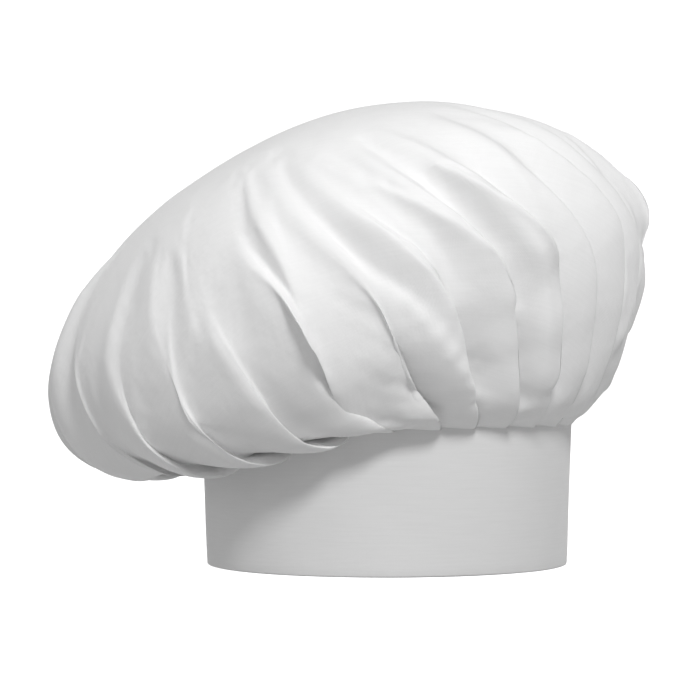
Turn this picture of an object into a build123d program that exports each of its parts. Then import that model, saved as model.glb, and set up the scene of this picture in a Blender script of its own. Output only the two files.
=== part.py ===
"""A white poplin chef toque: a stiff band with a hook-and-loop tab at the back, and a floppy crown.

The frame is +Z up, with the origin at the middle of the band's bottom rim, and -Y to the wearer's front.
The crown leans towards -X. Lengths are in millimetres and angles in degrees.
"""

from build123d import *

import os
from math import cos, pi, radians, sin

# --- driving dimensions -------------------------------------------------------------------------

BAND_HEIGHT = 75.0
RIM_HALF_WIDTH = 94.5  # outside half width of the band along X, at the bottom rim
RIM_HALF_DEPTH = 92.5  # the same along Y
BAND_FLARE = 2.9  # how much further out the band's top edge lies than its rim
CLOTH = 0.6  # one layer of poplin
STIFFENER = 0.8  # the interlining between the band's two layers
SEAM_ALLOWANCE = 10.0  # crown cloth caught between the band's layers
BACK_GAP = 12.0  # between the band's two ends, at the middle of the back

CROWN_WALL_SHARE = 0.992  # the inside of the crown cloth, as a share of its outside
ROOT_RISE = 10.0  # how far the gathered root stands above the band
ROOT_FLARE = 5.0

TAB_LENGTH = 58.0
TAB_FOOT = 8.0  # the height of the tab's lower edge
TAB_HEIGHT = 42.0
TAB_SEWN_EDGE = 1.0  # the clearance between the tab's sewn edge and the band's end
TAB_HEM = 1.0  # from the tab's edges to the stiffener inside
TAPE = 0.9  # one side of the hook-and-loop tape
TAPE_GAP = 0.9  # between the two tapes' backings, where their piles engage
HOOK_LENGTH = 46.0
LOOP_LENGTH = 34.0
TAPE_HEIGHT = 30.0
TAPE_INSET = 6.0  # from the band's end to the hook tape

THREAD = 0.25  # a sewing thread's radius
THREAD_LIFT = 0.05  # the thread's clearance from the cloth
STITCH_MARGIN = 3.0  # from an edge of the tab or the band to its stitches
TAPE_MARGIN = 1.5  # from a tape's edge to its stitches, and from the seam to the stitches below it

BINDING_RISE = 4.0  # how far the binding stands above the band
BINDING_CLEARANCE = 0.3  # from the binding to each end of the band

LABEL_WIDTH = 22.0
LABEL_HEIGHT = 34.0
LABEL = 0.4  # the label's thickness
LABEL_CLEARANCE = 0.1  # from the label to the facing
LABEL_PLACE = 40.0  # from the band's end to the label

BACK = 90.0  # the direction of the back, round from +X
BAND_THICKNESS = 2 * CLOTH + STIFFENER
LIFT = THREAD + THREAD_LIFT  # from the cloth to the middle of a thread on it


# --- the band's elliptical wall -----------------------------------------------------------------


def half_axes(height, offset=0.0):
    """The band's outside half width and half depth at a height, moved outwards by offset."""
    flare = BAND_FLARE * height / BAND_HEIGHT
    return RIM_HALF_WIDTH + flare + offset, RIM_HALF_DEPTH + flare + offset


def band_prism(bottom, top, offset):
    """The solid inside the band's outer face, moved outwards by offset, from one height to another."""
    rings = [Plane.XY.offset(z) * Ellipse(*half_axes(z, offset)) for z in (bottom, top)]
    return loft(rings, ruled=True)


def band_wall(bottom, top, outer, inner):
    """A closed wall between two offsets from the band's outer face."""
    return band_prism(bottom, top, outer) - band_prism(bottom, top, inner)


def turn_for(length):
    """The angle that an arc of this length takes at the back of the band."""
    return length / RIM_HALF_WIDTH * 180 / pi


def sector(start, end, bottom, top):
    """A wedge from the Z axis outwards, under 180 degrees wide, to cut an arc from a wall."""
    reach = 2 * RIM_HALF_WIDTH
    turns = (start, (start + end) / 2, end)
    corners = [(0, 0)] + [(reach * cos(radians(t)), reach * sin(radians(t))) for t in turns]
    return extrude(Plane.XY.offset(bottom) * make_face(Polyline(*corners, close=True)), top - bottom)


def back_gap(bottom, top):
    """The space between the band's two ends."""
    size = (BACK_GAP, RIM_HALF_DEPTH, top - bottom)
    return Pos(0, RIM_HALF_DEPTH, (bottom + top) / 2) * Box(*size)


# --- cloth pieces of the band -------------------------------------------------------------------


def band_outer():
    """The outer layer, turned under along the rim."""
    wall = band_wall(0, BAND_HEIGHT, 0, -CLOTH)
    turned_rim = band_wall(0, CLOTH, 0, -BAND_THICKNESS)
    return wall + turned_rim - back_gap(-1, BAND_HEIGHT + 1)


def band_inner():
    """The facing against the head."""
    wall = band_wall(CLOTH, BAND_HEIGHT, -CLOTH - STIFFENER, -BAND_THICKNESS)
    return wall - back_gap(-1, BAND_HEIGHT + 1)


def band_interlining():
    """The stiffener that makes the band stand."""
    wall = band_wall(CLOTH, BAND_HEIGHT - SEAM_ALLOWANCE - 1, -CLOTH, -CLOTH - STIFFENER)
    return wall - back_gap(-1, BAND_HEIGHT + 1)


def crown_root():
    """The gathered edge of the crown cloth: its seam allowance in the band, and the flare above it."""
    low, high = BAND_HEIGHT - SEAM_ALLOWANCE, BAND_HEIGHT + ROOT_RISE
    allowance = band_wall(low, BAND_HEIGHT, -CLOTH, -CLOTH - STIFFENER)
    solids = []
    for offset in (-CLOTH, -CLOTH - STIFFENER):
        foot = Plane.XY.offset(BAND_HEIGHT) * Ellipse(*half_axes(BAND_HEIGHT, offset))
        lip = Plane.XY.offset(high) * Ellipse(*half_axes(BAND_HEIGHT, offset + ROOT_FLARE))
        solids.append(loft([foot, lip], ruled=True))
    return (allowance - back_gap(low - 1, BAND_HEIGHT)) + (solids[0] - solids[1])


def vent_binding():
    """The tape that binds the crown's edge across the gap between the band's ends."""
    half_turn = turn_for(BACK_GAP / 2 - BINDING_CLEARANCE)
    arc = (BACK - half_turn, BACK + half_turn, BAND_HEIGHT - 2 * CLOTH, BAND_HEIGHT + BINDING_RISE)
    block = band_wall(arc[2], arc[3], 2 * CLOTH, -BAND_THICKNESS - CLOTH) & sector(*arc)
    return block - crown_root()


def care_label():
    """A blank woven label against the facing, just beside the gap."""
    end = BACK + turn_for(BACK_GAP / 2 + LABEL_PLACE)
    top = BAND_HEIGHT - STITCH_MARGIN
    offset = -BAND_THICKNESS - LABEL_CLEARANCE
    wall = band_wall(top - LABEL_HEIGHT, top, offset, offset - LABEL)
    return wall & sector(end - turn_for(LABEL_WIDTH), end, 0, BAND_HEIGHT)


# --- the closure --------------------------------------------------------------------------------

TAB_FACE = 2 * TAPE + TAPE_GAP  # from the band's outer face to the tab's inner face
TAB_TOP = TAB_FOOT + TAB_HEIGHT
TAB_START = BACK - turn_for(BACK_GAP / 2 - TAB_SEWN_EDGE)
TAB_END = TAB_START + turn_for(TAB_LENGTH)
TAPE_FOOT = TAB_FOOT + (TAB_HEIGHT - TAPE_HEIGHT) / 2
HOOK_START = BACK + turn_for(BACK_GAP / 2 + TAPE_INSET)
LOOP_START = TAB_END - turn_for(STITCH_MARGIN + LOOP_LENGTH)


def tab_layer(inner, outer, margin=0.0):
    """One layer of the tab, between two offsets from the tab's inner face."""
    wall = band_wall(TAB_FOOT + margin, TAB_TOP - margin, TAB_FACE + outer, TAB_FACE + inner)
    turn = turn_for(margin)
    return wall & sector(TAB_START + turn, TAB_END - turn, 0, BAND_HEIGHT)


def tab_stiffener():
    """The stiffener inside the tab, which is smaller than the tab all round."""
    return tab_layer(CLOTH, CLOTH + STIFFENER, margin=TAB_HEM)


def tape(start, length, inner, outer):
    """A strip of tape between two offsets from the band's outer face."""
    wall = band_wall(TAPE_FOOT, TAPE_FOOT + TAPE_HEIGHT, outer, inner)
    return wall & sector(start, start + turn_for(length), 0, BAND_HEIGHT)


# --- stitching ----------------------------------------------------------------------------------


def thread_round(height, start, end, offset):
    """A thread that follows the band's face at one height, on the outside of an offset."""
    wide, deep = half_axes(height, offset)
    path = Pos(0, 0, height) * EllipticalCenterArc((0, 0), wide, deep, start, arc_size=end - start)
    section = Plane(origin=path @ 0, z_dir=path % 0) * Circle(THREAD)
    return sweep(section, path=path)


def thread_up(bottom, top, turn, offset):
    """A thread that climbs the band's face in one direction from the axis."""
    ends = []
    for height in (bottom, top):
        wide, deep = half_axes(height, offset)
        ends.append(Vector(wide * cos(radians(turn)), deep * sin(radians(turn)), height))
    path = Line(*ends)
    return sweep(Plane(origin=path @ 0, z_dir=path % 0) * Circle(THREAD), path=path)


def stitched_box(start, end, bottom, top, offset):
    """Four threads round a rectangle on the band's face, which stop short of each other at its corners."""
    turn, short = turn_for(2 * THREAD), 2 * THREAD
    rounds = [thread_round(z, start + turn, end - turn, offset) for z in (bottom, top)]
    ups = [thread_up(bottom + short, top - short, t, offset) for t in (start, end)]
    return Compound(children=rounds + ups)


def tape_stitching(start, length, face):
    """The thread round the edge of a tape, on a face at this offset from the band's."""
    turn = turn_for(TAPE_MARGIN)
    heights = (TAPE_FOOT + TAPE_MARGIN, TAPE_FOOT + TAPE_HEIGHT - TAPE_MARGIN)
    return stitched_box(start + turn, start + turn_for(length) - turn, *heights, face + LIFT)


def tab_stitching():
    """The thread round the edge of the tab."""
    turn = turn_for(STITCH_MARGIN)
    heights = (TAB_FOOT + STITCH_MARGIN, TAB_TOP - STITCH_MARGIN)
    return stitched_box(TAB_START + turn, TAB_END - turn, *heights, TAB_FACE + BAND_THICKNESS + LIFT)


def seam_stitching():
    """The thread in the ditch between band and crown, and the two that close the band's ends."""
    height = BAND_HEIGHT - TAPE_MARGIN
    half_gap = turn_for(BACK_GAP / 2 + STITCH_MARGIN)
    seam = thread_round(height, BACK + half_gap, BACK - half_gap + 360, LIFT)
    top = height - TAPE_MARGIN
    ends = [thread_up(STITCH_MARGIN, top, BACK + side * half_gap, LIFT) for side in (-1, 1)]
    return Compound(children=[seam] + ends)


# --- the crown ----------------------------------------------------------------------------------

# The crown's outline at y = 0, from its open rim to the top, which leans towards -X.
LEFT_SIDE = Spline(
    (-112, 0, 52), (-146, 0, 46), (-173, 0, 63), (-180, 0, 92), (-160, 0, 146), (-97, 0, 203), (22, 0, 243)
)
RIGHT_SIDE = Spline((108, 0, 88), (134, 0, 130), (141, 0, 164), (128, 0, 196), (92, 0, 228), (22, 0, 243))
RIM_DEPTH = 109.0  # half depth of the crown's open rim
FULL_DEPTH = 151.0  # half depth where the crown is widest
WIDEST = 0.40  # how far up its sides that is
RING_PLACES = (0, 0.12, 0.25, 0.4, 0.54, 0.68, 0.81, 0.91, 0.97)


def crown_depth(place):
    """Half the crown's depth, part of the way from its rim to its top."""
    if place < WIDEST:
        return RIM_DEPTH + (FULL_DEPTH - RIM_DEPTH) * sin(pi / 2 * place / WIDEST)
    return FULL_DEPTH * cos(pi / 2 * (place - WIDEST) / (1 - WIDEST))


def crown_ring(place):
    """The tilted ellipse that passes through both sides of the outline, and its plane's origin."""
    left, right = LEFT_SIDE @ place, RIGHT_SIDE @ place
    along = right - left
    plane = Plane(origin=(left + right) / 2, x_dir=along, z_dir=along.cross(Vector(0, 1, 0)))
    return plane * Ellipse(along.length / 2, crown_depth(place)), plane.origin


def crown_puff():
    """The floppy bag of the crown, a thin shell that is open where the head goes in."""
    rings = [crown_ring(place) for place in RING_PLACES]
    bag = loft([ring for ring, _ in rings])
    rim = rings[0][1]
    hollow = Pos(*rim) * (Pos(*-rim) * bag).scale(CROWN_WALL_SHARE)
    return bag - hollow


# --- every sub-part, by its node's name ---------------------------------------------------------

NODES = {
    "band_outer": band_outer(),
    "band_inner": band_inner(),
    "band_interlining": band_interlining(),
    "crown_root": crown_root(),
    "crown_puff": crown_puff(),
    "vent_binding": vent_binding(),
    "care_label": care_label(),
    "seam_stitching": seam_stitching(),
    "hook_tape": tape(HOOK_START, HOOK_LENGTH, 0, TAPE),
    "hook_tape_stitching": tape_stitching(HOOK_START, HOOK_LENGTH, TAPE),
    "tab_inner": tab_layer(0, CLOTH),
    "tab_interlining": tab_stiffener(),
    "tab_outer": tab_layer(CLOTH, BAND_THICKNESS) - tab_stiffener(),
    "tab_stitching": tab_stitching(),
    "loop_tape": tape(LOOP_START, LOOP_LENGTH, TAPE + TAPE_GAP, TAB_FACE),
    "loop_tape_stitching": tape_stitching(LOOP_START, LOOP_LENGTH, TAB_FACE + BAND_THICKNESS),
}

os.makedirs("parts", exist_ok=True)
for node, shape in NODES.items():
    export_step(shape, f"parts/{node}.step")
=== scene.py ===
import math

import bpy
import numpy as np
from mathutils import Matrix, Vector


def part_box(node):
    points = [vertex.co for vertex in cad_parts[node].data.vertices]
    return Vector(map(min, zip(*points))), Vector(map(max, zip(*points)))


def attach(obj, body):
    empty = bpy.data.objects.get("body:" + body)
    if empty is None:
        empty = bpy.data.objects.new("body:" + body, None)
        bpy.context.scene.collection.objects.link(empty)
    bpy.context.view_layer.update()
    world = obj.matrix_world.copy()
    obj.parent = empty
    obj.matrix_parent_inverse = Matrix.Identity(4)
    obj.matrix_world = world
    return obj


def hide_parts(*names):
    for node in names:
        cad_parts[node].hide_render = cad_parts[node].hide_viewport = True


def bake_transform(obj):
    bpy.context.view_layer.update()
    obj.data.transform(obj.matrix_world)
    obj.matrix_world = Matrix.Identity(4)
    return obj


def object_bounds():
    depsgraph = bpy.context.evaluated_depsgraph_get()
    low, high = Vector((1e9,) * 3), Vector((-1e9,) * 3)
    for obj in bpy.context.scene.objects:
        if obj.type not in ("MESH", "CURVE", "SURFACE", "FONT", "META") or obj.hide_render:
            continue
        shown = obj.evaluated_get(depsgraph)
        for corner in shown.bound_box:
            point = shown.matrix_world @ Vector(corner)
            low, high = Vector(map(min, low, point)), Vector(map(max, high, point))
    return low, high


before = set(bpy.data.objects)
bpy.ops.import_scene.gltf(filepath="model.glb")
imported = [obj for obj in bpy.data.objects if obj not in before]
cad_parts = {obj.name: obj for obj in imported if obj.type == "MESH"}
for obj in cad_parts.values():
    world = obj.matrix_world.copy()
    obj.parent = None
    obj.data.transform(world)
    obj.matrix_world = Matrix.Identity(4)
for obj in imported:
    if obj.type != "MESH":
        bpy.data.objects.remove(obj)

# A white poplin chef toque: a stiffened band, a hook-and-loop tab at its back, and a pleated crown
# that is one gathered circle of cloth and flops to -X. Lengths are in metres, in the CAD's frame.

CAD_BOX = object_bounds()
MM = 0.001

# --- the band's sizes, from the frame -----------------------------------------------------------

BAND_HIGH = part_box("band_outer")[1]
BAND_HEIGHT = BAND_HIGH.z
FLARE = 2.9 * MM  # how much further out the band's top edge lies than its rim
RIM_WIDE = BAND_HIGH.x - FLARE  # half the band's width at its rim
RIM_DEEP = BAND_HIGH.y - FLARE
CLOTH = 0.6 * MM
BAND_THICK = 2.0 * MM
BACK = math.pi / 2  # the direction of the back, round from +X
BACK_GAP = 12 * MM
MEAN_RADIUS = (RIM_WIDE + RIM_DEEP) / 2

# Gentle unevenness of the band: waves round it, half waves up it, millimetres outwards, and phase.
RIPPLES = [
    (2, 0.6, 0.55, 0.4),
    (3, 1.1, 0.40, 2.1),
    (5, 0.8, 0.22, 5.0),
    (8, 1.6, 0.14, 1.2),
    (13, 2.3, 0.07, 3.3),
]
CALM_BACK = 0.18  # how far round the back, in radians squared, the band stays even for its closure
CALM_TOP = 0.6  # the share of the unevenness that is gone at the seam


def ripple(turn, height):
    """How far the band's wall lies outside its plain shape."""
    up = height / BAND_HEIGHT
    total = sum(
        size * np.sin(waves * turn + phase + math.pi * halves * up)
        for waves, halves, size, phase in RIPPLES
    )
    calm_back = 1 - np.exp(-(((turn % (2 * math.pi)) - BACK) ** 2) / CALM_BACK)
    return total * MM * calm_back * (1 - CALM_TOP * up)


def on_band(turn, height, offset=0.0):
    """Points on the band's wall, moved outwards by offset."""
    turn, height, offset = np.broadcast_arrays(np.asarray(turn, float), height, offset)
    out = FLARE * height / BAND_HEIGHT + offset + ripple(turn, height)
    return np.stack([(RIM_WIDE + out) * np.cos(turn), (RIM_DEEP + out) * np.sin(turn), height], -1)


def turn_for(length):
    """The angle round the band that a length along it takes up."""
    return length / RIM_WIDE


def smooth(x):
    """Runs from 0 to 1 as x does, level at both ends."""
    x = np.clip(x, 0, 1)
    return x * x * (3 - 2 * x)


# --- meshes -------------------------------------------------------------------------------------


def grid_faces(rows, columns, wrap_rows=False, wrap_columns=False):
    """Quads over a grid of points, numbered row by row."""
    i = np.arange(rows if wrap_rows else rows - 1)[:, None]
    j = np.arange(columns if wrap_columns else columns - 1)[None, :]
    a, b = (i % rows) * columns, ((i + 1) % rows) * columns
    c, d = j % columns, (j + 1) % columns
    return np.stack(np.broadcast_arrays(a + c, a + d, b + d, b + c), -1).reshape(-1, 4).tolist()


def grid_border(columns, rows):
    """Pairs of neighbouring points round the edge of a grid."""
    border = [i * rows for i in range(columns)] + [(columns - 1) * rows + j for j in range(1, rows)]
    border += [i * rows + rows - 1 for i in range(columns - 2, -1, -1)] + list(range(rows - 2, 0, -1))
    return list(zip(border, border[1:] + border[:1]))


def tube_faces(first, rings, sides):
    """Faces of a tube closed at both ends, whose points are numbered ring by ring from first."""
    faces = [[first + k for k in face] for face in grid_faces(rings, sides, wrap_columns=True)]
    faces.append([first + k for k in range(sides)][::-1])
    faces.append([first + (rings - 1) * sides + k for k in range(sides)])
    return faces


def piece(name, shape, material, body=None, stands_for=()):
    """A smooth object made of (points, faces, each point's place in the cut cloth), with a material."""
    points, faces, flat = shape
    mesh = bpy.data.meshes.new(name)
    mesh.from_pydata(np.asarray(points, float).reshape(-1, 3).tolist(), [], faces)
    mesh.update()
    mesh.polygons.foreach_set("use_smooth", [True] * len(mesh.polygons))
    corners = np.zeros(len(mesh.loops), np.int32)
    mesh.loops.foreach_get("vertex_index", corners)
    layer = mesh.uv_layers.new(name="cut")
    layer.data.foreach_set("uv", np.asarray(flat, np.float32).reshape(-1, 2)[corners].ravel())
    mesh.materials.append(material)
    made = bpy.data.objects.new(name, mesh)
    bpy.context.scene.collection.objects.link(made)
    if body:
        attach(made, body)
    if stands_for:
        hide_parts(*stands_for)
    return made


def ribbon(path, thickness):
    """A closed outline of even thickness, with blunt ends, along a line of (offset, height) points."""
    path = np.array(path, float)
    along = np.gradient(path, axis=0)
    along /= np.linalg.norm(along, axis=1)[:, None]
    side = np.stack([along[:, 1], -along[:, 0]], 1) * thickness / 2
    end = [path[-1] + along[-1] * thickness / 3]
    start = [path[0] - along[0] * thickness / 3]
    return np.vstack([path + side, end, (path - side)[::-1], start])


def swept(outline, turns):
    """A closed outline of (offset, height) points carried round the band, with both ends capped."""
    points = on_band(np.array(turns)[:, None], outline[None, :, 1], outline[None, :, 0])
    rows, columns = points.shape[:2]
    flat = np.stack(
        [
            np.broadcast_to(np.array(turns)[:, None] * MEAN_RADIUS, (rows, columns)),
            np.broadcast_to(outline[None, :, 1], (rows, columns)),
        ],
        -1,
    )
    return points, tube_faces(0, rows, columns), flat


# --- materials ----------------------------------------------------------------------------------


class Shader:
    """A material's node tree, with short ways to add and join nodes."""

    def __init__(self, name, colour, roughness, sheen=0.0):
        self.material = bpy.data.materials.new(name)
        self.material.use_nodes = True
        self.tree = self.material.node_tree
        self.surface = self.tree.nodes["Principled BSDF"]
        self.surface.inputs["Base Color"].default_value = (*colour, 1)
        self.surface.inputs["Roughness"].default_value = roughness
        self.surface.inputs["Sheen Weight"].default_value = sheen
        self.surface.inputs["Sheen Roughness"].default_value = 0.4
        self.surface.inputs["Specular IOR Level"].default_value = 0.25
        self.normal = None

    def node(self, kind, **values):
        """A node with the given sockets or settings."""
        made = self.tree.nodes.new(kind)
        for key, value in values.items():
            if key in made.inputs.keys():
                made.inputs[key].default_value = value
            else:
                setattr(made, key, value)
        return made

    def join(self, source, target):
        self.tree.links.new(source, target)

    def place(self, kind, scale):
        """Coordinates in the cut cloth or in the object, stretched by scale."""
        coordinates = self.node("ShaderNodeTexCoord").outputs[kind]
        mapping = self.node("ShaderNodeMapping")
        mapping.inputs["Scale"].default_value = scale
        self.join(coordinates, mapping.inputs["Vector"])
        return mapping.outputs["Vector"]

    def noise(self, kind, scale, detail=2.0):
        made = self.node("ShaderNodeTexNoise", Scale=1.0, Detail=detail)
        self.join(self.place(kind, scale), made.inputs["Vector"])
        return made.outputs["Fac"]

    def threads(self, kind, across, count):
        """Rounded threads side by side, count of them to the metre."""
        scale = (count, 0, 0) if across == "X" else (0, count, 0)
        made = self.node("ShaderNodeTexWave", wave_type="BANDS", bands_direction=across, Scale=0.31416)
        self.join(self.place(kind, scale), made.inputs["Vector"])
        return made.outputs["Fac"]

    def math(self, operation, first, second):
        made = self.node("ShaderNodeMath", operation=operation)
        for socket, value in zip(made.inputs, (first, second)):
            if isinstance(value, float):
                socket.default_value = value
            else:
                self.join(value, socket)
        return made.outputs[0]

    def bump(self, height, distance):
        """Bumps as high as distance where height is 1, on top of any added before."""
        made = self.node("ShaderNodeBump", Distance=distance, Strength=1.0)
        self.join(height, made.inputs["Height"])
        if self.normal is not None:
            self.join(self.normal, made.inputs["Normal"])
        self.normal = made.outputs["Normal"]
        self.join(self.normal, self.surface.inputs["Normal"])

    def tint(self, factor, dark, light):
        """Colour that runs from dark to light with a factor."""
        ramp = self.node("ShaderNodeValToRGB")
        ramp.color_ramp.elements[0].position = 0.3
        ramp.color_ramp.elements[0].color = (*dark, 1)
        ramp.color_ramp.elements[1].position = 0.7
        ramp.color_ramp.elements[1].color = (*light, 1)
        self.join(factor, ramp.inputs["Fac"])
        self.join(ramp.outputs["Color"], self.surface.inputs["Base Color"])


def poplin(name, white, crumple):
    """Plain-weave cotton: fine crossed threads, slubs along both, and the soft crumple of handled cloth."""
    cloth = Shader(name, (white, white, white), 0.78, sheen=0.25)
    weave = cloth.math("MULTIPLY", cloth.threads("UV", "X", 2200.0), cloth.threads("UV", "Y", 1700.0))
    slubs = cloth.math("ADD", cloth.noise("UV", (60, 1500, 1)), cloth.noise("UV", (1500, 60, 1)))
    cloth.tint(cloth.noise("UV", (45, 900, 1), 3.0), (white - 0.012,) * 3, (white + 0.008,) * 3)
    cloth.bump(cloth.noise("Object", (38, 38, 38), 3.0), crumple)
    cloth.bump(cloth.noise("Object", (150, 150, 150), 4.0), crumple * 0.3)
    cloth.bump(slubs, 0.02 * MM)
    cloth.bump(weave, 0.05 * MM)
    return cloth.material


def nonwoven(name):
    """Bonded fibre stiffener: matted short fibres with no direction."""
    felt = Shader(name, (0.8, 0.8, 0.78), 0.95)
    felt.bump(felt.noise("Object", (2500, 2500, 2500), 6.0), 0.1 * MM)
    felt.tint(felt.noise("Object", (900, 900, 900), 4.0), (0.74, 0.74, 0.72), (0.84, 0.84, 0.82))
    return felt.material


def tape_cloth(name, white, ribs):
    """Woven nylon tape with ribs along it."""
    tape = Shader(name, (white, white, white), 0.55, sheen=0.1)
    tape.tint(tape.noise("UV", (80, 1200, 1), 2.0), (white - 0.04,) * 3, (white + 0.02,) * 3)
    tape.bump(tape.threads("UV", "Y", ribs), 0.12 * MM)
    tape.bump(tape.threads("UV", "X", 1300.0), 0.06 * MM)
    return tape.material


def filament(name, white, roughness):
    """Nylon monofilament or sewing thread, with a little unevenness along it."""
    yarn = Shader(name, (white, white, white), roughness, sheen=0.1)
    yarn.tint(yarn.noise("Object", (3000, 3000, 3000), 1.0), (white - 0.03,) * 3, (white + 0.02,) * 3)
    yarn.bump(yarn.noise("Object", (5000, 5000, 5000), 2.0), 0.05 * MM)
    return yarn.material


def satin(name):
    """Woven label satin: long warp floats, so smoother and glossier than poplin."""
    label = Shader(name, (0.86, 0.86, 0.86), 0.38, sheen=0.1)
    label.tint(label.noise("UV", (2600, 90, 1), 2.0), (0.82, 0.82, 0.82), (0.88, 0.88, 0.88))
    label.bump(label.threads("UV", "X", 3300.0), 0.04 * MM)
    return label.material


CROWN_WHITE = 0.88
# Painted shade: the band's poplin is given a darker white than the crown's, for the shade the band lies in
# below the crown. The band, its facing, the tab and the vent binding all use it.
BAND_SHADED_WHITE = CROWN_WHITE - 0.12  # painted shade, darker than the crown's white
BAND_SHADED_POPLIN = poplin("band_poplin", BAND_SHADED_WHITE, 0.25 * MM)
CROWN_POPLIN = poplin("crown_poplin", CROWN_WHITE, 0.9 * MM)
INTERLINING = nonwoven("interlining")
HOOK_TAPE = tape_cloth("hook_tape", 0.82, 700.0)
LOOP_TAPE = tape_cloth("loop_tape", 0.83, 900.0)
HOOKS = filament("hook_filament", 0.84, 0.35)
LOOPS = filament("loop_filament", 0.85, 0.5)
THREAD = filament("thread", 0.88, 0.6)
LABEL = satin("label_satin")

# --- the band -----------------------------------------------------------------------------------

BAND_TURNS = np.linspace(
    BACK + turn_for(BACK_GAP / 2), BACK - turn_for(BACK_GAP / 2) + 2 * math.pi, 361
)
WALL_STEPS = 16


def arc(middle, radius, start, end, steps):
    """Points on a circle of (offset, height), between two angles in degrees."""
    turns = np.radians(np.linspace(start, end, steps))
    return [(middle[0] + radius * math.cos(t), middle[1] + radius * math.sin(t)) for t in turns]


def band_layers():
    """The band's outer layer with its turned rim, its stiffener, and its facing."""
    mid, fold = CLOTH / 2, 0.7 * MM
    top, rim = BAND_HEIGHT - 0.8 * MM, 1.0 * MM
    wall = [(-mid, z) for z in np.linspace(top, rim, WALL_STEPS)][1:-1]
    tucked = (-0.75 * MM, BAND_HEIGHT - 5 * MM)
    outer = [tucked] + arc((-mid - 0.35 * MM, top), 0.35 * MM, 165, 0, 7) + wall
    outer += arc((-mid - fold, rim), fold, 0, -180, 9)
    shell = ribbon(outer, CLOTH)
    shell[:, 1] = np.maximum(shell[:, 1], 0)
    piece("band_cloth", swept(shell, BAND_TURNS), BAND_SHADED_POPLIN, "band", ["band_outer"])

    # The stiffener stops short of the seam allowance at the top and of the turned rim.
    stiff = [(-1.0 * MM, z) for z in np.linspace(BAND_HEIGHT - 11 * MM, 1.6 * MM, WALL_STEPS)]
    stiff = swept(ribbon(stiff, 0.7 * MM), BAND_TURNS)
    piece("band_stiffener", stiff, INTERLINING, "band", ["band_interlining"])

    facing = arc((-BAND_THICK + mid + 0.3 * MM, top), 0.3 * MM, 10, 180, 7)
    facing += [(-BAND_THICK + mid, z) for z in np.linspace(top, 2.0 * MM, WALL_STEPS)][1:]
    facing = ribbon(facing, CLOTH)
    piece("band_facing", swept(facing, BAND_TURNS), BAND_SHADED_POPLIN, "band", ["band_inner"])


band_layers()

# --- stitches -----------------------------------------------------------------------------------

STITCH = 2.6 * MM  # from one stitch to the next
STITCH_RADIUS = 0.2 * MM
# Along a stitch: share of its length, share of its radius, and how deep it dips into the cloth.
STITCH_RINGS = [
    (0.04, 0.35, 0.9),
    (0.16, 0.85, 0.35),
    (0.5, 1.0, 0.0),
    (0.84, 0.85, 0.35),
    (0.96, 0.35, 0.9),
]
STITCH_SIDES = 6


def stitches(path, outwards):
    """A row of separate stitches along a dense line of points, with the cloth's outward direction at each."""
    length = np.concatenate([[0], np.cumsum(np.linalg.norm(np.diff(path, axis=0), axis=1))])
    count = max(1, int(round(length[-1] / STITCH)))
    step = length[-1] / count
    points, faces, flat = [], [], []
    around = np.arange(STITCH_SIDES) * 2 * math.pi / STITCH_SIDES
    for i in range(count):
        first = len(points)
        for share, wide, dip in STITCH_RINGS:
            at = (i + share) * step
            centre, out, ahead, behind = (
                np.array([np.interp(x, length, line[:, k]) for k in range(3)])
                for x, line in ((at, path), (at, outwards), (at + 0.2 * MM, path), (at - 0.2 * MM, path))
            )
            along = (ahead - behind) / np.linalg.norm(ahead - behind)
            side = np.cross(along, out)
            centre = centre - out * dip * STITCH_RADIUS
            for turn in around:
                points.append(centre + STITCH_RADIUS * wide * (math.cos(turn) * out + math.sin(turn) * side))
                flat.append((at, turn * STITCH_RADIUS))
        faces += tube_faces(first, len(STITCH_RINGS), STITCH_SIDES)
    return points, faces, flat


def several(shapes):
    """One shape made of several."""
    points, faces, flat = [], [], []
    for more_points, more_faces, more_flat in shapes:
        first = len(points)
        points += list(more_points)
        faces += [[first + k for k in face] for face in more_faces]
        flat += list(more_flat)
    return points, faces, flat


def band_line(turns, heights, offset):
    """A dense line on the band's wall and its outward directions."""
    turns, heights = np.broadcast_arrays(np.asarray(turns, float), np.asarray(heights, float))
    inner, outer = on_band(turns, heights, offset), on_band(turns, heights, offset + MM)
    return inner, (outer - inner) / MM


def stitched_box(start, end, bottom, top, offset):
    """Four rows of stitches round a rectangle on the band's wall."""
    across, up = np.linspace(start, end, 60), np.linspace(bottom, top, 30)
    rows = [band_line(across, z, offset) for z in (bottom, top)]
    rows += [band_line(turn, up, offset) for turn in (start, end)]
    return several(stitches(*row) for row in rows)


def seam_stitches():
    """The row in the ditch between band and crown, and the one that closes each end of the band."""
    edge = turn_for(BACK_GAP / 2 + 3 * MM)
    low = BAND_HEIGHT - 0.35 * MM
    around = np.linspace(BACK + edge, BACK - edge + 2 * math.pi, 1200)
    rows = [band_line(around, low, -0.2 * MM)]
    up = np.linspace(3 * MM, BAND_HEIGHT - 4 * MM, 60)
    rows += [band_line(BACK + side * edge, up, 0.1 * MM) for side in (-1, 1)]
    return several(stitches(*row) for row in rows)


piece("seam_stitches", seam_stitches(), THREAD, "band", ["seam_stitching"])

# --- the closure at the back --------------------------------------------------------------------

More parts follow.
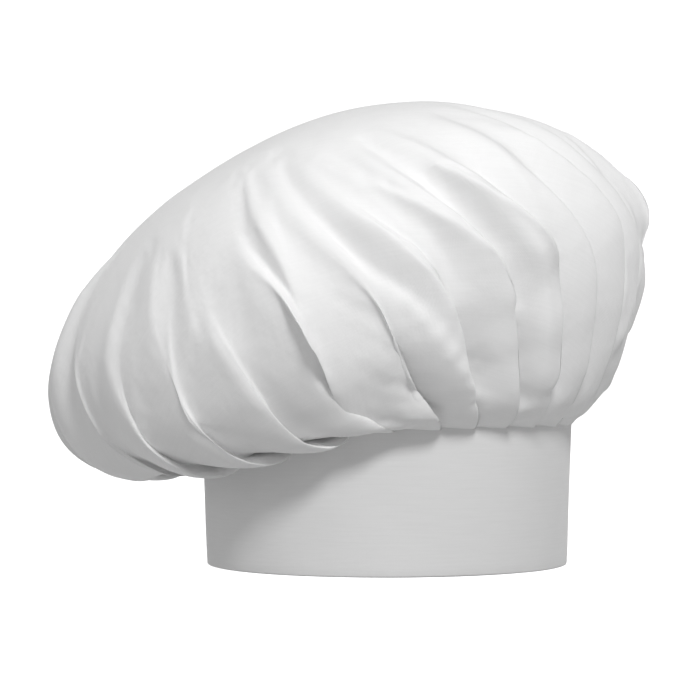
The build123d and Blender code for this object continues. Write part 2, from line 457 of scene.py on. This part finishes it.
TAPE_LOW, TAPE_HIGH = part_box("hook_tape")
TAB_LOW, TAB_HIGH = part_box("tab_outer")
TAPE = 0.9 * MM  # the thickness of one side of the hook-and-loop tape
TAB_FACE = 2.7 * MM  # from the band's face to the tab's inner face
TAB_THICK = 2.0 * MM
TAPE_CORNER = 1.2 * MM  # the radius of the tapes' corners
STITCH_INSET = 1.2 * MM  # from a tape's edge to its stitches
FIBRE = 0.62 * MM  # how far a hook or loop stands out from its tape, at most
FIBRE_RADIUS = 0.09 * MM
TAB_START = BACK - turn_for(BACK_GAP / 2 - MM)
TAB_END = TAB_START + turn_for(58 * MM)
HOOK_START = BACK + turn_for(BACK_GAP / 2 + 6 * MM)
HOOK_END = HOOK_START + turn_for(46 * MM)
LOOP_START = TAB_END - turn_for(37 * MM)
LOOP_END = LOOP_START + turn_for(34 * MM)


def patch(start, end, bottom, top, inner, outer, corner, steps=(48, 28), lift=None):
    """A closed slab on the band's wall with rounded corners and edges, between two offsets.

    lift(turns) gives how much further out, or in, each column lies.
    """
    columns, rows = steps
    across, up = np.linspace(-1, 1, columns), np.linspace(-1, 1, rows)
    half_long, half_high = (end - start) / 2 * RIM_WIDE, (top - bottom) / 2
    u, v = np.meshgrid(across, up, indexing="ij")
    # Pull the corners in along both sides, so that they are round.
    fold_u = np.clip((np.abs(u) * half_long - (half_long - corner)) / corner, 0, 1)
    fold_v = np.clip((np.abs(v) * half_high - (half_high - corner)) / corner, 0, 1)
    square = np.maximum(fold_u, fold_v)
    radius = np.hypot(fold_u, fold_v)
    pull = np.where(radius > 0, square / np.maximum(radius, 1e-9), 1)
    x = np.sign(u) * (np.minimum(np.abs(u) * half_long, half_long - corner) + corner * fold_u * pull)
    z = np.sign(v) * (np.minimum(np.abs(v) * half_high, half_high - corner) + corner * fold_v * pull)
    turns = (start + end) / 2 + x / RIM_WIDE
    heights = (bottom + top) / 2 + z
    bend = 0 if lift is None else lift(turns)
    middle, half = (inner + outer) / 2, (outer - inner) / 2
    # The faces draw together towards the edge, as a folded and pressed edge does.
    rim = np.minimum(1 - np.abs(u), (1 - np.abs(v)) * half_high / half_long) * half_long
    swell = 0.45 + 0.55 * np.clip(rim / (1.2 * MM), 0, 1) ** 0.5
    top_side = on_band(turns, heights, middle + half * swell + bend)
    under = on_band(turns, heights, middle - half * swell + bend)
    points = np.vstack([top_side.reshape(-1, 3), under.reshape(-1, 3)])
    flat = np.stack([x, z], -1).reshape(-1, 2)
    size = columns * rows
    upper = grid_faces(columns, rows)
    lower = [[size + k for k in face][::-1] for face in upper]
    sides = [[b, a, size + a, size + b] for a, b in grid_border(columns, rows)]
    return points, upper + lower + sides, np.vstack([flat, flat])


def pile(start, end, bottom, top, offset, out, spacing, curl, seed, in_rows):
    """Small bent fibres on a tape. out is 1 for pile that stands outwards and -1 for inwards.

    Each is bent through curl radians. With in_rows the rows face to and fro, otherwise each fibre
    faces its own way.
    """
    rng = np.random.default_rng(seed)
    columns = int((end - start) * RIM_WIDE / spacing)
    rows = int((top - bottom) / spacing)
    points, faces, flat = [], [], []
    sides, rings = 4, 6
    bends = np.linspace(0, curl, rings)
    for i in range(columns):
        for j in range(rows):
            jitter = rng.uniform(-0.2, 0.2, 2) * spacing
            turn = start + ((i + 0.5 + 0.5 * (j % 2) - 0.25) * spacing + jitter[0]) / RIM_WIDE
            height = bottom + (j + 0.5) * spacing + jitter[1]
            if in_rows:
                facing = 0.0 if j % 2 else math.pi
            else:
                facing = rng.uniform(0, 2 * math.pi)
            tall = FIBRE * rng.uniform(0.85, 1.0)
            root, outwards = band_line(turn, height, offset)
            outwards = outwards / np.linalg.norm(outwards) * out
            side = np.array([-math.sin(turn), math.cos(turn), 0]) * math.cos(facing)
            side = side + np.array([0, 0, 1]) * math.sin(facing)
            first = len(points)
            for bend in bends:
                centre = root + outwards * tall * math.sin(min(bend, math.pi / 2))
                if bend > math.pi / 2:
                    centre = centre - outwards * tall * 0.6 * (1 - math.sin(bend))
                centre = centre + side * tall * 0.45 * (1 - math.cos(bend))
                across = np.cross(outwards, side)
                tangent = outwards * math.cos(bend) + side * math.sin(bend)
                normal = np.cross(tangent, across)
                for k in range(sides):
                    a = k * 2 * math.pi / sides
                    points.append(centre + FIBRE_RADIUS * (math.cos(a) * across + math.sin(a) * normal))
                    flat.append((bend * tall, a * FIBRE_RADIUS))
            faces += tube_faces(first, rings, sides)
    return points, faces, flat


def sewn_end(turns):
    """How far the tab's root comes in, down onto the band, where it is sewn."""
    x = (turns - BACK) * RIM_WIDE
    return -(TAB_FACE - 0.15 * MM) * (1 - smooth((x + 13 * MM) / (14 * MM)))


def closure():
    """The hook tape on the band, and the tab that carries the loop tape over it."""
    tape_bottom, tape_top = TAPE_LOW.z, TAPE_HIGH.z
    tab_bottom, tab_top = TAB_LOW.z, TAB_HIGH.z
    hook = patch(HOOK_START, HOOK_END, tape_bottom, tape_top, 0.05 * MM, TAPE - 0.35 * MM, TAPE_CORNER)
    hooks = pile(
        HOOK_START + turn_for(1.6 * MM),
        HOOK_END - turn_for(1.6 * MM),
        tape_bottom + 2 * MM,
        tape_top - 2 * MM,
        TAPE - 0.45 * MM,
        out=1,
        spacing=1.35 * MM,
        curl=2.5,
        seed=4,
        in_rows=True,
    )
    piece("hook_tape_backing", hook, HOOK_TAPE, "band", ["hook_tape"])
    piece("hook_tape_hooks", hooks, HOOKS, "band")
    inset = turn_for(STITCH_INSET)
    box = stitched_box(
        HOOK_START + inset,
        HOOK_END - inset,
        tape_bottom + STITCH_INSET,
        tape_top - STITCH_INSET,
        TAPE - 0.25 * MM,
    )
    piece("hook_tape_stitches", box, THREAD, "band", ["hook_tape_stitching"])

    loop = patch(
        LOOP_START,
        LOOP_END,
        tape_bottom,
        tape_top,
        TAB_FACE - TAPE + 0.35 * MM,
        TAB_FACE - 0.05 * MM,
        TAPE_CORNER,
    )
    loops = pile(
        LOOP_START + turn_for(1.2 * MM),
        LOOP_END - turn_for(1.2 * MM),
        tape_bottom + 1.5 * MM,
        tape_top - 1.5 * MM,
        TAB_FACE - TAPE + 0.4 * MM,
        out=-1,
        spacing=1.1 * MM,
        curl=3.1,
        seed=5,
        in_rows=False,
    )
    piece("loop_tape_backing", loop, LOOP_TAPE, "closure_tab", ["loop_tape"])
    piece("loop_tape_loops", loops, LOOPS, "closure_tab")
    box = stitched_box(
        LOOP_START + inset,
        LOOP_END - inset,
        tape_bottom + STITCH_INSET,
        tape_top - STITCH_INSET,
        TAB_FACE + TAB_THICK + 0.05 * MM,
    )
    piece("loop_tape_stitches", box, THREAD, "closure_tab", ["loop_tape_stitching"])

    root = TAB_START - turn_for(9 * MM)
    tab = patch(
        root,
        TAB_END,
        tab_bottom,
        tab_top,
        TAB_FACE,
        TAB_FACE + TAB_THICK,
        4 * MM,
        steps=(90, 44),
        lift=sewn_end,
    )
    tab = piece(
        "tab_cloth", tab, BAND_SHADED_POPLIN, None, ["tab_outer", "tab_inner", "tab_interlining"]
    )
    hinge = on_band(TAB_START, 0.0, TAB_FACE)
    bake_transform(tab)
    # The rows start where the tab has risen clear of its sewn end.
    box = stitched_box(
        TAB_START + turn_for(6 * MM),
        TAB_END - turn_for(3 * MM),
        tab_bottom + 3 * MM,
        tab_top - 3 * MM,
        TAB_FACE + TAB_THICK + 0.05 * MM,
    )
    piece("tab_stitches", box, THREAD, "closure_tab", ["tab_stitching"])


closure()

# --- the binding and the label ------------------------------------------------------------------


def vent_binding():
    """The folded tape that binds the crown's edge between the band's two ends."""
    fold = arc((-1.0 * MM, BAND_HEIGHT + 3.2 * MM), 1.45 * MM, 0, 180, 13)
    path = [(0.45 * MM, z) for z in np.linspace(BAND_HEIGHT - 1.2 * MM, BAND_HEIGHT + 3.0 * MM, 8)]
    path += fold + [(-2.45 * MM, z) for z in np.linspace(BAND_HEIGHT + 3.0 * MM, BAND_HEIGHT - 1.2 * MM, 8)]
    reach = turn_for(BACK_GAP / 2 - 0.4 * MM)
    return swept(ribbon(path, 0.4 * MM), np.linspace(BACK - reach, BACK + reach, 25))


piece("vent_binding_tape", vent_binding(), BAND_SHADED_POPLIN, "band", ["vent_binding"])

LABEL_LOW, LABEL_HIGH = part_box("care_label")


def care_label():
    """A blank label sewn to the facing along its top, whose lower end curls away from it."""
    columns, rows = 20, 30
    middle = math.atan2(
        (LABEL_LOW.y + LABEL_HIGH.y) / 2 / RIM_DEEP, (LABEL_LOW.x + LABEL_HIGH.x) / 2 / RIM_WIDE
    )
    half = turn_for(11 * MM)
    across = np.linspace(middle - half, middle + half, columns)
    up = np.linspace(0, 1, rows)
    turn, share = np.meshgrid(across, up, indexing="ij")
    curl = 1.6 * MM * (1 - share) ** 2 * (1 + 0.3 * np.sin((turn - middle) / half * 2.5))
    offset = -BAND_THICK - 0.25 * MM - curl
    height = LABEL_LOW.z + share * (LABEL_HIGH.z - LABEL_LOW.z)
    front, rear = on_band(turn, height, offset - 0.1 * MM), on_band(turn, height, offset + 0.1 * MM)
    size = columns * rows
    upper = grid_faces(columns, rows)
    faces = [face[::-1] for face in upper] + [[size + k for k in face] for face in upper]
    faces += [[a, b, size + b, size + a] for a, b in grid_border(columns, rows)]
    flat = np.stack([(turn - middle) * RIM_WIDE, height], -1).reshape(-1, 2)
    return np.vstack([front.reshape(-1, 3), rear.reshape(-1, 3)]), faces, np.vstack([flat, flat])


piece("care_label_satin", care_label(), LABEL, "band", ["care_label"])

# --- the crown ----------------------------------------------------------------------------------

SEAM_IN = 1.0 * MM  # from the band's face to the middle of its thickness
SEAM_X = (BAND_HIGH.x - SEAM_IN) / MM
SEAM_Y = (BAND_HIGH.y - SEAM_IN) / MM
SEAM_Z = (BAND_HEIGHT - 0.5 * MM) / MM
# The crown's outline at y = 0, as (x, z) in millimetres, from the seam to the middle of the circle.
APEX = (-52, 226)
LEFT_SIDE = [
    (-SEAM_X, SEAM_Z),
    (-103, 63),
    (-113, 50.5),
    (-132, 45.5),
    (-155, 49),
    (-173, 63),
    (-180, 88),
    (-174, 115),
    (-160, 144),
    (-138, 172),
    (-109, 194),
    (-78, 213),
    APEX,
]
RIGHT_SIDE = [
    (SEAM_X, SEAM_Z),
    (104, 83),
    (116, 101),
    (129, 120),
    (137, 142),
    (140, 168),
    (132, 190),
    (112, 212),
    (90, 229),
    (58, 238.5),
    (22, 241.5),
    (-18, 237),
    APEX,
]
CROWN_DEPTH = 151.0  # half the depth of the crown, in millimetres
DEEPEST = 0.40  # how far from the seam to the middle of the circle the crown is deepest
CUT_RADIUS = 335 * MM  # the circle of cloth, from its middle to the seam

# The mesh, from the seam to the middle of the circle.
CROWN_ROWS = 76
RING_COLUMNS = 448  # points round the seam, halved further in where they crowd
FEWEST_COLUMNS = 14  # a ring with this many points or fewer isn't halved

# The crown's shape, besides its outline and its depth.
TWIST = 0.36  # how far the folds lean round towards -X on their way up the front and back, in radians
TWIST_START = 0.26  # the share of the way to the middle at which the lean starts
TWIST_REACH = 0.42  # the share of the way over which it grows
HANG = 12.0  # how much lower the cloth hangs over the band beside the flopped side, in millimetres
HANG_END = 0.3  # the share of the way to the middle at which the hang ends

# Where each pleat starts round the seam, in degrees from +X: uneven, as hand-laid pleats are.
PLEAT_STARTS = [-176, -160, -146, -133, -119, -105, -92, -79, -68, -57, -46, -34, -22, -10]
PLEAT_STARTS += [3, 16, 31, 46, 60, 77, 93, 112, 127, 143, 156, 170]
PLEATS = len(PLEAT_STARTS)
UNEVEN = 0.9  # how much the pleats differ in height
MORE_AWAY = 0.5  # how much higher the pleats are on the side away from the flop
PLEAT_ENDS = (0.15, 0.7)  # the shares of the way to the middle between which pleats start to fade
PLEAT_FADE = 0.3  # the share of the way that a pleat takes to fade
LONGER_AWAY = 0.12  # how much later the pleats fade on the side away from the flop
FOLD_TIGHTNESS = 4.0  # how straight the folds' sides are
FOLD_HEIGHT = 5.5 * MM  # the most that a fold stands out
FLAT_START = 4 * MM  # the pleats keep SEAM_LEAN this far from the seam
FLAT_LENGTH = 65 * MM  # and over this much more they change to SIDE_LEAN
SEAM_LEAN = math.radians(84)  # how far the pleats are pressed over at the seam, where 90 is flat
SIDE_LEAN = math.radians(54)  # and up the crown's side
LEAN_END = 90 * MM  # how far from the seam that lean starts to go, and how far on it is gone
OVERLAP = 0.45  # how much further the pleats lie over each other on the side away from the flop

# Pressed creases.
CREASES = 130
CREASE_LENGTHS = (50 * MM, 150 * MM)
CREASE_HEIGHTS = (1.4 * MM, 4.2 * MM)
CREASE_EDGE = 2.5 * MM  # how wide the sharp side is
CREASE_SLOPES = (8 * MM, 22 * MM)  # how wide the soft side is
CREASE_STARTS = 120 * MM  # the furthest from the seam that one starts
CREASE_SLANT = 0.15  # how far they stray from pointing at the middle of the circle, in radians
CREASE_AWAY = 0.7  # how much higher they are on the side away from the flop
CREASE_FREE = 14 * MM  # they reach their full height this far from the seam

# The simulation.
CROWN_FRAMES = 18
CROWN_GROWTH = 0.02  # how much the cloth grows as it buckles
CROWN_PRESSURE = 4.0  # of the air inside, which keeps the crown round
CROWN_STRETCH = 15  # the cloth's stiffness against stretching and squeezing
CROWN_SHEAR = 6
CROWN_BEND = 0.005
CROWN_HELD = 5 * MM  # the cloth is held this far from the seam
FIT_LENGTH = 70 * MM  # the cloth is fitted to its solid in full from this far along it


def curve(points, shares):
    """Points on a smooth line through the given ones, at shares of its length."""
    known = np.array(points, float)
    ends = np.vstack([2 * known[0] - known[1], known, 2 * known[-1] - known[-2]])
    t = np.linspace(0, 1, 40, endpoint=False)[:, None]
    fine = [
        0.5 * (2 * b + (c - a) * t + (2 * a - 5 * b + 4 * c - d) * t**2 + (3 * b - a - 3 * c + d) * t**3)
        for a, b, c, d in zip(ends, ends[1:], ends[2:], ends[3:])
    ]
    fine = np.vstack(fine + [known[-1:]])
    length = np.concatenate([[0], np.cumsum(np.linalg.norm(np.diff(fine, axis=0), axis=1))])
    return np.stack([np.interp(np.asarray(shares) * length[-1], length, line) for line in fine.T], -1)


def crown_shape(turn, share):
    """The crown without its folds: round it by turn, from the seam, 0, to the middle of the circle, 1."""
    left, right = curve(LEFT_SIDE, share), curve(RIGHT_SIDE, share)
    # The lean is strongest at the front and back, and stronger away from the flop than beside it.
    lean = TWIST * (0.75 + 0.5 * np.cos(turn)) * np.sin(turn) * np.abs(np.sin(turn))
    turn = turn + lean * smooth((share - TWIST_START) / TWIST_REACH)
    rise = SEAM_Y + (CROWN_DEPTH - SEAM_Y) * np.sin(math.pi / 2 * np.clip(share / DEEPEST, 0, 1)) ** 0.9
    fall = CROWN_DEPTH * np.cos(math.pi / 2 * np.clip((share - DEEPEST) / (1 - DEEPEST), 0, 1))
    middle, half = (left + right) / 2, (right - left) / 2
    x, z = (middle + half * np.cos(turn)[..., None]).T
    hang = HANG * np.sin(math.pi * np.clip(share / HANG_END, 0, 1))
    hang = hang * np.abs(np.sin(turn)) * np.clip(0.35 - np.cos(turn), 0, 1)
    return np.stack([x.T, np.where(share < DEEPEST, rise, fall) * np.sin(turn), z.T - hang], -1) * MM


def fold_turn(place):
    """Which way the cloth heads along one pleat, from -1 to 1: straight sides between tight folds."""
    return np.tanh(FOLD_TIGHTNESS * np.sin(2 * math.pi * place)) / math.tanh(FOLD_TIGHTNESS)


def meanders():
    """How far a meander is shortened by its swing, for a range of swings in radians."""
    along = fold_turn((np.arange(400) + 0.5) / 400)
    swings = np.linspace(0, 1.45, 200)
    return 1 / np.array([np.mean(np.cos(swing * along)) for swing in swings]), swings


def crown_rings():
    """Each ring's distance from the seam along the cloth, and its number of points."""
    step, columns, rings = CUT_RADIUS / CROWN_ROWS, RING_COLUMNS, []
    crowded = step / 2  # points closer together than this are halved
    for row in range(CROWN_ROWS):
        while 2 * math.pi * (CUT_RADIUS - row * step) / columns < crowded and columns > FEWEST_COLUMNS:
            columns //= 2
        rings.append((row * step, columns))
    return rings


def crown_faces(rings):
    """Quads between rings, with three triangles to each pair of columns where the number halves."""
    firsts = np.concatenate([[0], np.cumsum([columns for _, columns in rings])])
    faces = []
    for row in range(len(rings) - 1):
        a, b, n, m = firsts[row], firsts[row + 1], rings[row][1], rings[row + 1][1]
        for j in range(m):
            k, skipped = (j + 1) % m, (2 * j + 2) % n
            if n == m:
                faces.append([a + j, a + k, b + k, b + j])
            else:
                faces += [
                    [a + 2 * j, a + 2 * j + 1, b + j],
                    [a + 2 * j + 1, b + k, b + j],
                    [a + 2 * j + 1, a + skipped, b + k],
                ]
    last, n = firsts[-2], rings[-1][1]
    return faces + [[last + j, last + (j + 1) % n, firsts[-1]] for j in range(n)]


def pleated_crown(rings):
    """The crown gathered into knife pleats at the seam, which open out up its sides."""
    rng = np.random.default_rng(3)
    away = np.cos(np.radians(PLEAT_STARTS))
    amounts = 1 + UNEVEN * rng.standard_normal(PLEATS) + MORE_AWAY * away
    ends = rng.uniform(*PLEAT_ENDS, PLEATS) + LONGER_AWAY * away
    starts = np.radians(PLEAT_STARTS + [PLEAT_STARTS[0] + 360])
    shortening, swings = meanders()
    circle = np.linspace(0, 2 * math.pi, 721)
    fine = np.linspace(0, 1, 401)
    points, flat = [], []
    for distance, columns in rings:
        share = distance / CUT_RADIUS
        radius = CUT_RADIUS - distance
        turns = starts[0] + np.arange(columns) * 2 * math.pi / columns
        flat.append(np.stack([radius * np.cos(turns), radius * np.sin(turns)], -1))
        ring = crown_shape(circle, np.full(len(circle), share))
        girth = np.linalg.norm(np.diff(ring, axis=0), axis=1).sum()
        swing = np.interp(max(1.0001, 2 * math.pi * radius / girth), shortening, swings)
        heading = swing * fold_turn(fine)
        steps = np.stack([np.cos(heading), np.sin(heading)])
        line = np.cumsum((steps[:, 1:] + steps[:, :-1]) / 2, axis=1) / (len(fine) - 1)
        along, out = np.concatenate([[[0], [0]], line], axis=1)
        out = out - out.mean()
        flat_part = 1 - smooth((distance - FLAT_START) / FLAT_LENGTH)
        side_part = (1 - flat_part) * (1 - smooth((distance - LEAN_END) / LEAN_END))
        lean = SEAM_LEAN * flat_part + SIDE_LEAN * side_part
        place = np.interp(turns, starts, np.arange(PLEATS + 1))
        within = place - np.floor(place)
        pleat = np.diff(starts)[np.floor(place).astype(int)] * radius
        end = np.interp(place, np.arange(PLEATS + 1), np.append(ends, ends[0]))
        fade = 1 - smooth((share - end) / PLEAT_FADE)
        vary = 1 + (amounts - 1) * smooth(share * 4)
        swell = np.interp(place, np.arange(PLEATS + 1), np.append(vary, vary[0]))
        rise = np.interp(within, fine, out) * fade * pleat
        overlap = math.sin(lean) * (1 + OVERLAP * np.clip(np.cos(turns), 0, 1))
        shift_along = (np.interp(within, fine, along) - within * along[-1]) * fade * pleat + rise * overlap
        rise = rise * swell * math.cos(lean)
        rise = FOLD_HEIGHT * np.tanh(rise / FOLD_HEIGHT)
        moved = turns + shift_along / (girth / (2 * math.pi))
        shares = np.full(columns, share)
        here = crown_shape(moved, shares)
        sideways = crown_shape(moved + 0.001, shares) - here
        upwards = crown_shape(moved, shares + 0.01) - crown_shape(moved, np.maximum(shares - 0.01, 0))
        normal = np.cross(sideways, upwards)
        normal /= np.linalg.norm(normal, axis=1)[:, None] + 1e-12
        points.append(here + normal * rise[:, None])
    points.append(crown_shape(np.zeros(1), np.ones(1)))
    flat.append(np.zeros((1, 2)))
    return np.vstack(points), np.vstack(flat)


def settle(cloth, pinned):
    """Lets the cloth, grown a little, buckle into its own folds, and keeps the result in its mesh."""
    held = cloth.vertex_groups.new(name="held")
    held.add(np.flatnonzero(pinned).tolist(), 1.0, "REPLACE")
    modifier = cloth.modifiers.new("cloth", "CLOTH")
    settings = modifier.settings
    settings.quality = 6
    settings.mass = 0.15
    settings.tension_stiffness = settings.compression_stiffness = CROWN_STRETCH
    settings.shear_stiffness = CROWN_SHEAR
    settings.bending_stiffness = CROWN_BEND
    settings.air_damping = 2
    settings.vertex_group_mass = "held"
    settings.shrink_min = settings.shrink_max = -CROWN_GROWTH
    settings.use_pressure = True
    settings.uniform_pressure_force = CROWN_PRESSURE
    settings.effector_weights.gravity = 0
    modifier.collision_settings.use_collision = False
    modifier.point_cache.frame_end = CROWN_FRAMES
    for frame_number in range(1, CROWN_FRAMES + 1):
        bpy.context.scene.frame_set(frame_number)
    shaped = cloth.evaluated_get(bpy.context.evaluated_depsgraph_get()).to_mesh()
    places = np.zeros(len(shaped.vertices) * 3, np.float32)
    shaped.vertices.foreach_get("co", places)
    cloth.modifiers.remove(modifier)
    cloth.vertex_groups.remove(held)
    cloth.data.vertices.foreach_set("co", places)
    cloth.data.update()
    bpy.context.scene.frame_set(1)


def crease(cloth, flat, distance):
    """Straight pressed creases up the crown, each a sharp edge with a soft slope behind it."""
    rng = np.random.default_rng(9)
    places = np.zeros(len(flat) * 3, np.float32)
    cloth.data.vertices.foreach_get("co", places)
    places = places.reshape(-1, 3).astype(float)
    # Outwards from the crown's middle, and not along the cloth's own folds, which would cross there.
    outwards = places - (places.min(axis=0) + places.max(axis=0)) / 2
    outwards /= np.linalg.norm(outwards, axis=1)[:, None]
    rise = np.zeros(len(flat))
    for _ in range(CREASES):
        turn, slant = rng.uniform(-math.pi, math.pi), rng.normal(0, CREASE_SLANT)
        start, length = rng.uniform(0, CREASE_STARTS), rng.uniform(*CREASE_LENGTHS)
        height, slope = rng.uniform(*CREASE_HEIGHTS), rng.uniform(*CREASE_SLOPES)
        ahead = -np.array([math.cos(turn + slant), math.sin(turn + slant)])
        offset = flat - (CUT_RADIUS - start) * np.array([math.cos(turn), math.sin(turn)])
        along = offset @ ahead / length
        across = offset @ np.array([-ahead[1], ahead[0]])
        taper = smooth(along / 0.2) * smooth((1 - along) / 0.4)
        edge = np.where(across > 0, np.exp(-np.abs(across) / slope), smooth(1 + across / CREASE_EDGE))
        rise += height * (1 + CREASE_AWAY * math.cos(turn)) * taper * edge
    rise *= smooth(distance / CREASE_FREE)
    moved = places + outwards * rise[:, None]
    cloth.data.vertices.foreach_set("co", moved.astype(np.float32).ravel())
    cloth.data.update()


def fit_to_solid(cloth, distance):
    """Stretches the cloth to the size of its CAD solid, more and more with distance from the seam."""
    low, high = (np.array(corner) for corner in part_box("crown_puff"))
    places = np.zeros(len(cloth.data.vertices) * 3)
    cloth.data.vertices.foreach_get("co", places)
    places = places.reshape(-1, 3)
    own_low, own_high = places.min(0), places.max(0)
    fitted = low + (places - own_low) * (high - low) / (own_high - own_low)
    share = smooth(distance / FIT_LENGTH)[:, None]
    cloth.data.vertices.foreach_set("co", (places + share * (fitted - places)).ravel())
    cloth.data.update()


def crown():
    """The crown's cloth: pleated, settled, creased, and brought to its size."""
    rings = crown_rings()
    distance = np.concatenate([np.full(columns, along) for along, columns in rings] + [[CUT_RADIUS]])
    points, flat = pleated_crown(rings)
    cloth = piece(
        "crown_cloth",
        (points, crown_faces(rings), flat),
        CROWN_POPLIN,
        None,
        ["crown_puff", "crown_root"],
    )
    settle(cloth, distance < CROWN_HELD)
    crease(cloth, flat, distance)
    fit_to_solid(cloth, distance)
    smoother = cloth.modifiers.new("smooth", "SUBSURF")
    smoother.levels = smoother.render_levels = 1
    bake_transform(cloth)


crown()

# --- the floor, the lights and the camera -------------------------------------------------------

FLOOR_REACH = 12.0  # to each side and to the front
FLOOR_END = 1.5  # where the floor starts to sweep up behind
GLOW = 0.8
# The floor's glow grows between these distances from the band's middle. They lie within its wall at
# the front and back, and up to 1.3 mm inside it at the sides, where the band is wider.
GLOW_STARTS = 0.0912
GLOW_FULL = 0.0925
CAMERA_DISTANCE = 1.4
CAMERA_DROP = 9 * MM  # below the middle of the hat's height


def look_at(holder, place, target):
    """Puts a light or the camera at a place and turns it to a target."""
    holder.location = place
    holder.rotation_euler = (Vector(target) - Vector(place)).to_track_quat("-Z", "Y").to_euler()


def floor():
    """A pale floor that sweeps up behind into a backdrop."""
    profile = [(-FLOOR_REACH, 0.0), (FLOOR_END, 0.0)]
    profile += [(FLOOR_END + math.sin(t), 1 - math.cos(t)) for t in np.linspace(0.1, math.pi / 2, 10)]
    profile += [(FLOOR_END + 1, 3.0)]
    across = np.linspace(-FLOOR_REACH, FLOOR_REACH, 5)
    points = [(x, y, z) for y, z in profile for x in across]
    mesh = bpy.data.meshes.new("floor")
    mesh.from_pydata(points, [], grid_faces(len(profile), len(across)))
    mesh.polygons.foreach_set("use_smooth", [True] * len(mesh.polygons))
    paper = bpy.data.materials.new("floor_paper")
    paper.use_nodes = True
    surface = paper.node_tree.nodes["Principled BSDF"]
    surface.inputs["Base Color"].default_value = (0.9, 0.9, 0.9, 1)
    surface.inputs["Roughness"].default_value = 0.9
    surface.inputs["Emission Color"].default_value = (1, 1, 1, 1)
    # The paper inside the band is in its shade, so it doesn't glow there.
    nodes, links = paper.node_tree.nodes, paper.node_tree.links
    place = nodes.new("ShaderNodeTexCoord")
    reach = nodes.new("ShaderNodeVectorMath")
    reach.operation = "LENGTH"
    glow = nodes.new("ShaderNodeMapRange")
    glow.inputs["From Min"].default_value = GLOW_STARTS
    glow.inputs["From Max"].default_value = GLOW_FULL
    glow.inputs["To Min"].default_value = 0.0
    glow.inputs["To Max"].default_value = GLOW
    links.new(place.outputs["Object"], reach.inputs[0])
    links.new(reach.outputs["Value"], glow.inputs["Value"])
    links.new(glow.outputs["Result"], surface.inputs["Emission Strength"])
    mesh.materials.append(paper)
    made = bpy.data.objects.new("floor", mesh)
    bpy.context.scene.collection.objects.link(made)
    made.visible_diffuse = False


def soft_light(name, place, size, power):
    """A round area light that points at the hat."""
    light = bpy.data.lights.new(name, "AREA")
    light.shape = "DISK"
    light.size, light.energy = size, power
    holder = bpy.data.objects.new(name, light)
    bpy.context.scene.collection.objects.link(holder)
    look_at(holder, place, (0, 0, 0.12))


def studio():
    """The floor, two lights in front, and a white world round them."""
    floor()
    soft_light("key", (0.3, -1.25, 1.15), size=0.4, power=15.5)
    soft_light("fill", (-1.4, -1.3, 0.8), size=1.2, power=2)
    world = bpy.data.worlds.new("studio")
    bpy.context.scene.world = world
    world.use_nodes = True
    surroundings = world.node_tree.nodes["Background"]
    surroundings.inputs["Color"].default_value = (1, 1, 1, 1)
    surroundings.inputs["Strength"].default_value = 0.4
    bpy.context.scene.view_settings.view_transform = "Standard"


def camera():
    """Straight in front of the hat, a little below its middle, with a long lens."""
    view = bpy.data.cameras.new("camera")
    view.lens, view.sensor_width = 136, 36
    view.clip_start, view.clip_end = 0.05, 20
    holder = bpy.data.objects.new("camera", view)
    bpy.context.scene.collection.objects.link(holder)
    low, high = CAD_BOX
    middle = (Vector(low) + Vector(high)) / 2
    place = (middle.x, -CAMERA_DISTANCE, middle.z - CAMERA_DROP)
    look_at(holder, place, (place[0], 0, place[2]))
    bpy.context.scene.camera = holder


studio()
camera()
